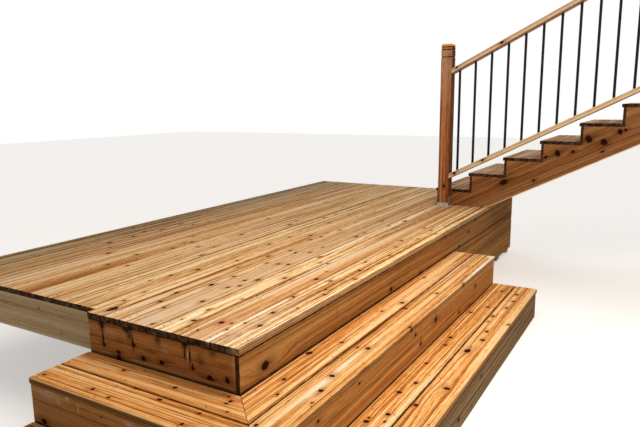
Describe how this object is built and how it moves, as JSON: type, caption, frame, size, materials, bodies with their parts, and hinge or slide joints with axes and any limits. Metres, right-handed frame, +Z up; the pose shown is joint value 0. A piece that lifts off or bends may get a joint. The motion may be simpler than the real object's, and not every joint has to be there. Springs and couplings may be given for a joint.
{
  "type": "wooden deck stairs",
  "caption": "Low cedar deck with box steps wrapped round its open corner, and a straight upper flight with a slatted metal and wood rail climbing from its far end.",
  "frame": {"origin": "on the ground, under the middle of the whole object's box", "axes": "+X along the deck boards, from the open stepped end to the far end; +Y from the front steps towards the house; +Z up"},
  "size_m": [4.677, 3.583, 2.6904],
  "materials": {
    "cedar_decking": "sawn and eased cedar, clear sealed",
    "cedar_fascia": "planed knotty cedar, clear sealed",
    "cedar_stringer": "planed knotty cedar plank, clear sealed",
    "cedar_post": "red cedar post",
    "cedar_rail": "planed cedar",
    "framing_lumber": "rough sawn framing",
    "black_metal": "black powder coat",
    "galvanised_steel": "galvanised"
  },
  "bodies": {
    "root": {"balusters": "black_metal", "bottom_rail": "cedar_rail", "deck_beam": "framing_lumber", "deck_boards": "cedar_decking", "deck_end_rim": "framing_lumber", "deck_front_rim": "framing_lumber", "deck_joists": "framing_lumber", "deck_ledger": "framing_lumber", "deck_post_far": "framing_lumber", "deck_post_middle": "framing_lumber", "deck_post_near": "framing_lumber", "end_fascia_lower": "cedar_fascia", "end_fascia_upper": "cedar_fascia", "far_stringer": "cedar_stringer", "flight_header": "cedar_stringer", "flight_risers": "cedar_stringer", "flight_tread_1": "cedar_decking", "flight_tread_2": "cedar_decking", "flight_tread_3": "cedar_decking", "flight_tread_4": "cedar_decking", "flight_tread_5": "cedar_decking", "flight_tread_6": "cedar_decking", "flight_tread_7": "cedar_decking", "front_fascia_lower": "cedar_fascia", "front_fascia_upper": "cedar_fascia", "header_post": "cedar_post", "lower_step_bearers": "framing_lumber", "lower_step_end_board": "cedar_fascia", "lower_step_front_riser": "cedar_fascia", "lower_step_front_treads": "cedar_decking", "lower_step_side_riser": "cedar_fascia", "lower_step_side_treads": "cedar_decking", "middle_stringer": "cedar_stringer", "near_stringer": "cedar_stringer", "newel": "cedar_post", "newel_base": "galvanised_steel", "skirt_cleats": "framing_lumber", "top_rail": "cedar_rail", "upper_newel": "cedar_post", "upper_step_bearers": "framing_lumber", "upper_step_end_board": "cedar_fascia", "upper_step_front_riser": "cedar_fascia", "upper_step_front_treads": "cedar_decking", "upper_step_side_riser_lower": "cedar_fascia", "upper_step_side_riser_top": "cedar_fascia", "upper_step_side_treads": "cedar_decking"}
  },
  "joints": []
}
